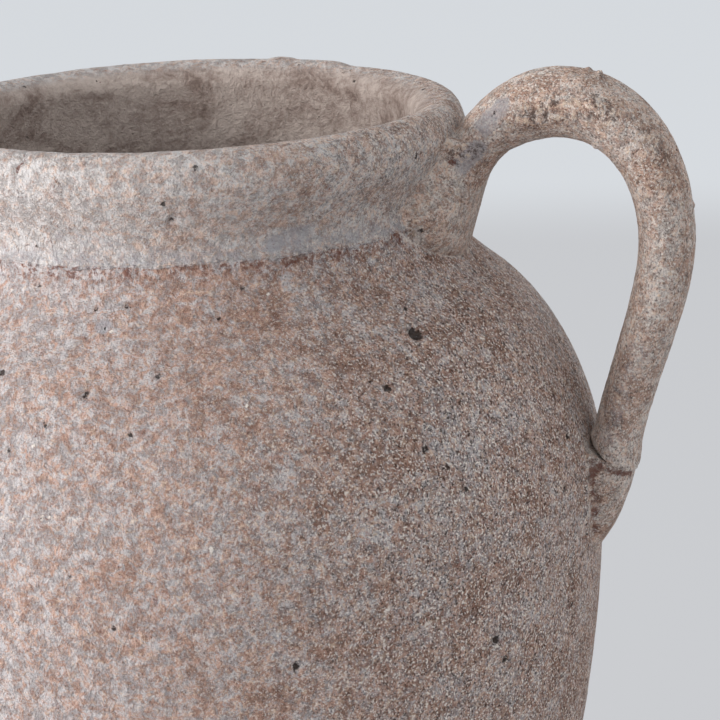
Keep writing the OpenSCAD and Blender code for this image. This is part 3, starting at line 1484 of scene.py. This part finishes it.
@dataclass(frozen=True)
class Joint:
    """The clay shape where a strap meets the jar: skin, strap and lump melted together."""

    outline: Outline
    strap: Strap
    root: Apron
    foot: Egg
    halfway: float = 295 * MM
    soft_low: tuple[float, float] = (338 * MM, 352 * MM)
    soft_high: tuple[float, float] = (373 * MM, 360 * MM)
    root_melt: float = 8 * MM
    root_edge_melt: float = 1.5 * MM
    foot_melt: float = 3.5 * MM
    strap_melt: float = 6 * MM
    tries: int = 14
    stride: float = 0.85
    deepest: float = 2 * MM

    def skin(self, points: np.ndarray) -> np.ndarray:
        """How far each point is from the jar's skin.

        Args:
            points: Where it is asked for.

        Returns:
            One distance for each point.
        """
        radius, _, z = polar(points)
        radial, _ = self.outline.facing(z)
        return (radius - self.outline.radius(z)) * radial

    def distance(self, points: np.ndarray) -> np.ndarray:
        """How far each point is from the melted surface.

        Args:
            points: Where it is asked for.

        Returns:
            One distance for each point.
        """
        z = points[:, 2]
        upper = z > self.halfway
        soft = smooth(*self.soft_low, z) * smooth(*self.soft_high, z)
        crisp = np.where(upper, self.root_edge_melt, self.foot_melt)
        width = crisp + (self.root_melt - crisp) * soft
        root = melt(self.strap.distance(points), self.root.distance(points), self.strap_melt)
        clay = np.where(upper, root, self.foot.distance(points))
        return melt(clay, self.skin(points), width)

    def march(self, start: np.ndarray, way: np.ndarray, furthest: np.ndarray) -> np.ndarray:
        """Moves points along their ways until they leave the clay.

        Args:
            start: Where they start.
            way: Their directions.
            furthest: How far each may go.

        Returns:
            How far each point went.
        """
        gone = np.zeros(len(start))
        for _ in range(self.tries):
            gap = self.distance(start + way * gone[:, None])
            gone = np.clip(gone - self.stride * gap, -self.deepest, furthest)
        return gone


@dataclass(frozen=True)
class Patch:
    """The stretch of skin that clay pressed round a strap's end covers, on the jar's right side."""

    spread: float
    low: float
    high: float
    across: int
    up: int


@dataclass
class Handles:
    """The two strap handles, each with its root apron and its foot blend."""

    joint: Joint
    finish: bpy.types.Material
    relief: Relief
    marks: Sequence[Mark]
    root: Patch = Patch(math.radians(32), 318 * MM, 370.5 * MM, 150, 100)
    foot: Patch = Patch(math.radians(12), 205 * MM, 263 * MM, 96, 100)
    rows: int = 300
    sheared_rows: int = 14
    sides: int = 112
    feather: float = 0.12
    tuck: float = 0.8 * MM
    sit: float = 0.15 * MM
    patch_t: float = 3 * MM
    root_top: tuple[float, float] = (366.5 * MM, 360 * MM)
    root_reach: tuple[float, float] = (7 * MM, 29 * MM)
    foot_reach: tuple[float, float] = (0.5 * MM, 17.5 * MM)
    foot_overlap: float = 0.6 * MM

    def strap(self) -> bpy.types.Object:
        """Makes the right-hand strap as a closed bent bar.

        Returns:
            The strap, not yet marked.
        """
        deselect()
        bpy.ops.mesh.primitive_circle_add(vertices=self.sides, radius=1.0, fill_type="NOTHING")
        piece = bpy.context.object
        screw = piece.modifiers.new("length", "SCREW")
        screw.angle = 0.0
        screw.screw_offset = 1.0
        screw.steps = self.rows - 1
        screw.render_steps = self.rows - 1
        apply_modifier(piece, screw)
        self._close(piece, bpy.ops.mesh.fill_holes)
        shape = self.joint.strap
        path, half = shape.path(self.rows, folded=True)
        outward = shape.ways(path)
        around = places(piece)
        row = np.clip(np.rint(around[:, 2] * (self.rows - 1)).astype(int), 0, self.rows - 1)
        taper = half[row] / shape.full_half(self.rows)[row]
        out, side = around[:, 0] * half[row], around[:, 1] * taper * shape.width / 2
        x = path[row, 0] + outward[row, 0] * out
        z = path[row, 1] + outward[row, 1] * out
        points = np.stack([x, side, z], axis=1)
        last = smooth(self.rows - self.sheared_rows, self.rows - 1, row)
        points[:, 2] -= last * shape.fold_slope * (points[:, 0] - path[row, 0])
        put(piece, points)
        self._close(piece)
        return piece

    def patch(self, patch: Patch, reach: Callable[[np.ndarray], np.ndarray]) -> bpy.types.Object:
        """Makes the clay pressed round one end of the right-hand strap.

        Args:
            patch: The stretch of skin that it covers.
            reach: How far out it may stand, for each height.

        Returns:
            The piece, not yet marked.
        """
        deselect()
        bpy.ops.mesh.primitive_grid_add(x_subdivisions=patch.across, y_subdivisions=patch.up, size=2)
        piece = bpy.context.object
        flat = places(piece)
        angle = patch.spread * flat[:, 0]
        z = patch.low + (patch.high - patch.low) * (flat[:, 1] + 1) / 2
        radius = self.joint.outline.radius(z)
        way = np.stack([np.cos(angle), np.sin(angle), np.zeros_like(z)], axis=1)
        start = np.stack([radius * np.cos(angle), radius * np.sin(angle), z], axis=1)
        gone = self.joint.march(start, way, reach(z))
        edge = smooth(0.0, self.feather, 1.0 - np.maximum(np.abs(flat[:, 0]), np.abs(flat[:, 1])))
        put(piece, start + way * (gone * edge - (1.0 - edge) * self.tuck - self.sit)[:, None])
        modifier = piece.modifiers.new("body", "SOLIDIFY")
        modifier.thickness = self.patch_t
        modifier.offset = -1.0
        apply_modifier(piece, modifier)
        self._close(piece)
        return piece

    def _close(self, piece: bpy.types.Object, operation: Callable | None = None) -> None:
        """Turns every face outward.

        Args:
            piece: The piece.
            operation: What is done to the whole mesh first.
        """
        take(piece)
        bpy.ops.object.mode_set(mode="EDIT")
        bpy.ops.mesh.select_all(action="SELECT")
        if operation is not None:
            operation()
        bpy.ops.mesh.select_all(action="SELECT")
        bpy.ops.mesh.normals_make_consistent(inside=False)
        bpy.ops.object.mode_set(mode="OBJECT")

    def copied(self, piece: bpy.types.Object, side: Side, name: str) -> bpy.types.Object:
        """A copy with its own mesh for one side, turned half round the jar for the left.

        Args:
            piece: The right-hand piece.
            side: The copy's side.
            name: The copy's name, with a gap for the side.

        Returns:
            The copy.
        """
        copy = piece.copy()
        copy.data = piece.data.copy()
        copy.name = name.format(side.value)
        copy.data.name = copy.name
        bpy.context.collection.objects.link(copy)
        if side is Side.LEFT:
            store(copy, ARROW, facings(copy) * np.array([-1.0, -1.0, 1.0]))
            copy.data.transform(Matrix.Rotation(math.pi, 4, "Z"))
        return copy

    def build(self) -> None:
        """Makes the right-hand pieces once, then presses and dresses a copy of each for either side."""
        shapes = (
            ("handle_{}_strap", "handle_{}", self.strap()),
            ("handle_{}_root_apron", "handle_{}_root_wad", self.patch(self.root, self._root_limit)),
            ("handle_{}_foot_blend", "handle_{}_foot_pad", self.patch(self.foot, self._foot_limit)),
        )
        for name, node, piece in shapes:
            mark_all(piece, facings(piece), self.marks)
            for side in Side:
                copy = self.copied(piece, side, name)
                self.relief.press_into(copy)
                dress(copy, self.finish, Slot.HANDLES, node.format(side.value))
            bpy.data.objects.remove(piece)

    def _root_limit(self, z: np.ndarray) -> np.ndarray:
        """How far the apron may stand out: far under the strap, and little beside it."""
        beside, under = self.root_reach
        return beside + (under - beside) * smooth(*self.root_top, z)

    def _foot_limit(self, z: np.ndarray) -> np.ndarray:
        """How far the foot's clay may stand out: far below the strap's end, and little behind the strap.

        Args:
            z: Heights.

        Returns:
            One length for each height.
        """
        strap = self.joint.strap
        under = (strap.fold_z - z) / strap.fold_slope + strap.leg_x - self.joint.outline.belly_r
        return np.clip(under + self.foot_overlap, *self.foot_reach)


def foot_groove() -> Mark:
    """The rough groove along the near side of the handle's foot, painted dark red as the shade in the
    crease between the foot's clay and the body.
    """
    path = ((148.2, -14, 251), (148.4, -14.2, 243), (148.6, -13, 234), (148, -10, 226))
    return Mark(path, 2.4, -0.6, Tint.RED, 0.9)


def handle_marks() -> list[Mark]:
    """The crusts, grooves, folds and crumbs of a handle, on the right-hand side.

    A crumb is given as its place, radius and height.
    """
    crust = ((129, -15, 377.5), (137, -15, 380), (145, -15, 380), (152, -15, 381), (158, -14, 378))
    outer_crust = ((172, -14, 374), (177, -12, 366), (179, -12, 356))
    root_crust = ((99, -17, 368), (102, -17, 362), (106, -16, 365), (112, -15, 365))
    crumbs = (
        (153, -3, 391.6, 3.4, 4.2), (148.5, 1, 392, 2.2, 1.4), (143, -6, 391.5, 1.6, 0.7),
        (157, -3, 391, 1.6, 0.8), (181.6, -3, 367, 3.2, 3.4), (179.5, -4, 371.5, 2.8, 2.0),
        (183, -3, 352, 1.8, 1.0), (182, -5, 334, 1.7, 0.8), (100, -15, 367, 2.6, 1.2),
        (104, -16, 364, 2.0, 1.0), (151.6, -10, 366, 2.2, 1.1), (179, -9, 318, 1.8, 0.8),
        (174, -5, 377, 1.8, 0.9), (170, -7, 381, 1.7, 0.8), (183, 2, 343, 1.8, 0.8),
        (176, -6, 304, 1.7, 0.6), (157, -12, 368, 1.8, 0.9), (164, -13, 360, 1.7, 0.7),
        (172, -6, 292, 1.7, 0.7),
    )
    leg_grey = ((165, -14, 296), (158, -15, 276), (154, -15, 262))
    fold = (
        (150.2, -14.5, 255.8), (153, -15.5, 254.2), (157, -14.4, 252), (160, -10.8, 250.2),
        (162, -5, 249.2),
    )
    # Painted shade: a dark red line under the strap's folded end.
    below_fold = (
        (148, -14, 253.6), (152, -13.8, 251.6), (156, -12.8, 249.4), (159.5, -9.5, 247.6),
        (161, -5, 247),
    )
    edge_line = ((152.8, -15, 282), (150.8, -15, 269), (150.0, -15, 258))
    return [
        Mark(crust, 6.5, 0.3, Tint.CRUST),
        Mark(outer_crust, 7.5, 0.2, Tint.CRUST, 0.75),
        Mark(((153, -3, 392),), 5.0, 0.0, Tint.CRUST, 0.9),
        Mark(((181.6, -4, 368),), 5.0, 0.0, Tint.CRUST, 0.8),
        Mark(root_crust, 5.0, 0.3, Tint.CRUST, 1.0),
        # Painted shade: the dark red crease where the strap's root meets the clay under the lip.
        Mark(((100.5, -17, 366), (102.5, -17, 361.5)), 2.4, -0.8, Tint.RED, 1.0),
        *(Mark(((x, y, z),), radius, height, Tint.NONE) for x, y, z, radius, height in crumbs),
        foot_groove(),
        Mark(leg_grey, 8.0, 0.0, Tint.GREY, 0.4),
        Mark(((119, -14, 381), (114, -14, 374)), 7.0, 0.0, Tint.GREY, 0.75),
        Mark(((111, -15, 366), (106, -16, 361)), 6.0, 0.0, Tint.GREY, 0.9),
        Mark(fold, 2.0, 0.7, Tint.PALE, 0.55),
        # Painted shade under the strap's folded end.
        Mark(below_fold, 1.8, -0.5, Tint.RED, 0.95),
        Mark(edge_line, 1.5, 0.35, Tint.PALE, 0.5),
        Mark(((148, -15, 252), (147.6, -15, 247), (149, -14, 240)), 4.5, 0.0, Tint.CRUST, 0.6),
    ]


def skin_marks(outline: Outline) -> list[Mark]:
    """The dents, lime specks and stains of the jar's skin, with painted shade darkening its pits and the
    foot's groove.

    A pit is given as its azimuth, height, radius, depth and strength. A lime speck is given as its azimuth,
    height and radius.

    Args:
        outline: The jar's outline.

    Returns:
        The marks.
    """
    pits = (
        (-33, 312.5, 4.6, -2.0, 1.0), (-43.5, 299.6, 2.4, -1.2, 0.95), (-40.7, 279.6, 2.0, -0.9, 0.8),
        (-21.2, 273, 2.4, -1.1, 0.8), (-37.7, 272.7, 2.2, -0.9, 0.8), (-10.3, 265.8, 2.2, -1.0, 0.9),
        (-19.9, 253.8, 2.0, -0.9, 0.75), (11.3, 319, 2.4, -0.9, 0.8), (3.8, 281.5, 2.2, -0.9, 0.8),
        (-14.8, 250.1, 2.0, -0.9, 0.8), (-31.8, 208.3, 2.8, -1.2, 0.95), (-29.7, 199.4, 2.3, -1.0, 0.9),
        (-62.3, 215.5, 2.2, -1.0, 0.85), (-45.6, 302.7, 2.0, -0.8, 0.7), (-90.3, 305.1, 2.2, -0.9, 0.75),
        (-82.9, 293.9, 2.0, -0.8, 0.7), (-76, 357.2, 2.4, -0.8, 0.5), (151, 362, 3.0, -0.8, 0.8),
        (-91.6, 328.2, 1.8, -0.6, 0.7), (-105.7, 310, 2.2, -0.8, 0.8), (-85.5, 328.9, 1.6, -0.6, 0.65),
        (-68.4, 324.7, 1.8, -0.7, 0.7), (-89.4, 322.4, 1.5, -0.5, 0.7),
    )
    limes = (
        (-72.5, 258.4, 1.8), (-49.6, 230.5, 1.8), (-43.8, 222, 1.6), (-45.2, 226.3, 1.3),
        (-54.6, 257, 1.4), (-31.8, 205.8, 1.5), (-66, 300, 1.3), (-88, 322, 1.4), (-97, 290, 1.4),
        (-58, 330, 1.2), (-25, 236, 1.3),
    )

    def along(azimuths: Sequence[float], heights: Sequence[float]) -> tuple[Spot, ...]:
        """A path on the skin through azimuths in degrees and heights in millimetres."""
        return tuple(on_skin(outline, azimuth, height) for azimuth, height in zip(azimuths, heights))

    streak_azimuths = (-108, -100, -92, -86)
    streak = along(streak_azimuths, [268 + 0.1 * (azimuth + 95) for azimuth in streak_azimuths])
    tongue_azimuths = range(-22, 23, 4)
    tongue = along(tongue_azimuths, [325.5 + 0.03 * azimuth**2 for azimuth in tongue_azimuths])
    crack = along((-105.7, -105.2, -106.4, -106.1), (379.4, 377.8, 376.2, 374.4))
    low_azimuths = range(-5, 61, 13)
    return [
        *(Mark(along([azimuth], [height]), radius, depth, Tint.PIT, strength)
          for azimuth, height, radius, depth, strength in pits),
        *(Mark(along([azimuth], [height]), radius, 0.3, Tint.PALE, 1.3)
          for azimuth, height, radius in limes),
        Mark(streak, 2.6, 0.1, Tint.PALE, 0.55),
        Mark(crack, 1.4, -0.5, Tint.RED, 0.8),
        Mark(tongue, 1.8, 0.2, Tint.PALE, 0.75),
        Mark(along((-74.5, -69.5), (331.8, 331.8)), 2.0, 0.5, Tint.CRUST, 0.9),
        Mark(along([-89.7], [323.3]), 4.2, 0.0, Tint.GREY, 1.1),
        foot_groove(),
        Mark(along([-6.9] * 4, (263, 250, 238, 228)), 1.9, 0.7, Tint.PALE, 0.6),
        Mark(along((-54.8, -48), (345.8, 348)), 6.0, 0.0, Tint.GREY, 0.7),
        Mark(along((-100, -88), (352, 350)), 5.0, 0.0, Tint.GREY, 0.5),
        Mark(along([-23.6], [339]), 5.0, 0.0, Tint.RED, 0.8),
        Mark(along([-48], [220]), 9.0, 0.0, Tint.RED, 0.42),
        Mark(along([-38], [244]), 8.0, 0.0, Tint.RED, 0.36),
        Mark(along([82], [380]), 7.0, 0.8, Tint.NONE),
        Mark(along(low_azimuths, [379] * len(low_azimuths)), 15.0, -1.2, Tint.NONE),
    ]


@dataclass(frozen=True)
class Studio:
    """The floor, the soft light and the camera."""

    tilt: float = math.radians(-2.6104)
    swing: float = math.radians(17.0)
    unit: float = 95 * MM
    camera_far: float = 11.967
    camera_high: float = 2.0489
    yaw: float = math.radians(3.0302)
    pitch: float = math.radians(14.4653)
    lens: float = 160.0
    sensor: float = 36.0
    furthest: float = 60.0
    floor_width: float = 40.0
    floor_drop: float = 0.6 * MM
    floor_near: float = 1.45
    floor_far: float = 1.75
    floor_glow: float = 1.04
    floor_matte: float = 0.35
    key_size: float = 1.3
    key_power: float = 60.0
    key_side: float = math.radians(-148.0)
    key_far: float = 1.9
    key_high: float = 0.46
    key_aim: float = 0.26
    fill: float = 0.86

    def floor(self) -> None:
        """A pale floor, a little lighter far behind the jar."""
        deselect()
        bpy.ops.mesh.primitive_plane_add(size=self.floor_width, location=(0, 0, -self.floor_drop))
        plane = bpy.context.object
        plane.name = "floor"
        bpy.ops.object.mode_set(mode="EDIT")
        bpy.ops.mesh.subdivide(number_cuts=20)
        bpy.ops.object.mode_set(mode="OBJECT")
        made = bpy.data.materials.new("pale_floor")
        made.use_nodes = True
        graph = Graph(made.node_tree)
        place = Wire(graph, graph.node("ShaderNodeTexCoord").outputs["Object"])
        length = graph.node("ShaderNodeVectorMath", {"operation": "LENGTH"}, {0: place})
        share = Wire(graph, length.outputs["Value"]).rise(self.floor_near, self.floor_far)
        colour = graph.blend(share, linear(201, 202, 205), linear(216, 219, 223))
        glow = graph.node("ShaderNodeEmission", {}, {"Color": colour, "Strength": self.floor_glow})
        matte = graph.node("ShaderNodeBsdfDiffuse", {}, {"Color": colour})
        mixed = graph.node("ShaderNodeMixShader", {}, {0: self.floor_matte})
        made.node_tree.links.new(glow.outputs[0], mixed.inputs[1])
        made.node_tree.links.new(matte.outputs[0], mixed.inputs[2])
        output = graph.node("ShaderNodeOutputMaterial")
        made.node_tree.links.new(mixed.outputs[0], output.inputs["Surface"])
        plane.data.materials.append(made)

    def light(self) -> None:
        """One large soft lamp at the jar's left and a pale surround."""
        world = bpy.data.worlds.new("surround")
        bpy.context.scene.world = world
        world.use_nodes = True
        back = world.node_tree.nodes["Background"]
        back.inputs["Color"].default_value = (0.95, 0.98, 1.0, 1.0)
        back.inputs["Strength"].default_value = self.fill
        side_x, side_y = math.cos(self.key_side), math.sin(self.key_side)
        place = Vector((side_x * self.key_far, side_y * self.key_far, self.key_high))
        bpy.ops.object.light_add(type="AREA", location=place)
        lamp = bpy.context.object
        lamp.name = "key"
        lamp.data.energy = self.key_power
        lamp.data.size = self.key_size
        lamp.data.color = (1.0, 0.985, 0.97)
        lamp.rotation_euler = (Vector((0, 0, self.key_aim)) - place).to_track_quat("-Z", "Y").to_euler()

    def camera(self, height: float) -> None:
        """Puts the camera where it looks down a little over the jar's front.

        Args:
            height: The jar's height.
        """
        sin_yaw, cos_yaw = math.sin(self.yaw), math.cos(self.yaw)
        sin_pitch, cos_pitch = math.sin(self.pitch), math.cos(self.pitch)
        forward = Vector((sin_yaw * cos_pitch, cos_yaw * cos_pitch, -sin_pitch))
        right = Vector((cos_yaw, -sin_yaw, 0.0))
        above = right.cross(forward)
        across = right * math.cos(self.tilt) + above * math.sin(self.tilt)
        upright = above * math.cos(self.tilt) - right * math.sin(self.tilt)
        turn = Matrix.Rotation(self.swing, 3, "Z")
        axes = Matrix((turn @ across, turn @ upright, -(turn @ forward))).transposed()
        away = Vector((0.0, -self.camera_far, self.camera_high)) * self.unit
        place = turn @ away + Vector((0, 0, height))
        bpy.ops.object.camera_add(location=place)
        camera = bpy.context.object
        camera.rotation_euler = axes.to_euler()
        camera.data.lens = self.lens
        camera.data.sensor_width = self.sensor
        camera.data.clip_end = self.furthest
        bpy.context.scene.camera = camera

    def build(self, height: float) -> None:
        """Sets up the whole studio round a jar of one height.

        Args:
            height: The jar's height.
        """
        self.floor()
        self.light()
        self.camera(height)
        bpy.context.scene.view_settings.view_transform = "Standard"


def main() -> None:
    """Builds the jar piece by piece, then the studio."""
    logging.basicConfig(level=logging.INFO, format="%(relativeCreated)d ms %(name)s: %(message)s")
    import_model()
    outline = Outline.from_frame()
    LOG.info("outline: %s", outline)
    body = ClayFinish("weathered_body", seam=True).material()
    neck = ClayFinish(
        "weathered_neck", redness=-0.035, lines=0.5 * MM, seam=True, speckle_and_grit_shading=0.8,
        bloom=linear(206, 201, 200), brick=linear(206, 179, 166),
    ).material()
    # Painted light, in part: the handles' clay is a lighter copy of the body's, lightened to make up for
    # the light the lamp gives the handle's lower leg too little of.
    strap_clay = ClayFinish(
        "weathered_handle", redness=-0.03, speckle_and_grit_shading=0.65,
        bloom=linear(218, 208, 202), brick=linear(210, 177, 160),
    ).material()
    slip = ClayFinish("pale_seam_slip", redness=-0.1, seam=True).material()
    plain = Relief()
    thrown = Relief(rings=0.18 * MM)
    marks = skin_marks(outline)
    foot_z, belly_z, neck_z = outline.foot_t, outline.belly_z, outline.neck_z
    lip_z, top_z = outline.lip_z, outline.height
    for wall in (
        Foot("foot_disc", "base_disc", Slot.BODY, body, plain, outline, 0.0, foot_z),
        Bowl("lower_body_wall", "lower_body", Slot.BODY, body, plain, outline, foot_z, belly_z, marks),
        Wall("upper_body_wall", "upper_body", Slot.BODY, body, plain, outline, belly_z, neck_z, marks),
        Neck("neck_wall", "neck_collar", Slot.NECK, neck, thrown, outline, neck_z, lip_z, marks, 0.8 * MM),
        Lip("rounded_lip", "lip_coil", Slot.NECK, neck, thrown, outline, lip_z, top_z, marks, 1.0 * MM),
    ):
        wall.build()
    SeamSlip(outline, slip, plain).build()
    joint = Joint(
        outline,
        Strap.from_frame(outline),
        Apron(outline),
        Egg((146.8 * MM, 0.0, 248 * MM), (14.9 * MM, 14.3 * MM, 34 * MM), 0.22, 2.6),
    )
    Handles(joint, strap_clay, Relief(grain=0.26 * MM, crust=0.7 * MM), handle_marks()).build()
    Studio().build(outline.height)


if __name__ == "__main__":
    main()
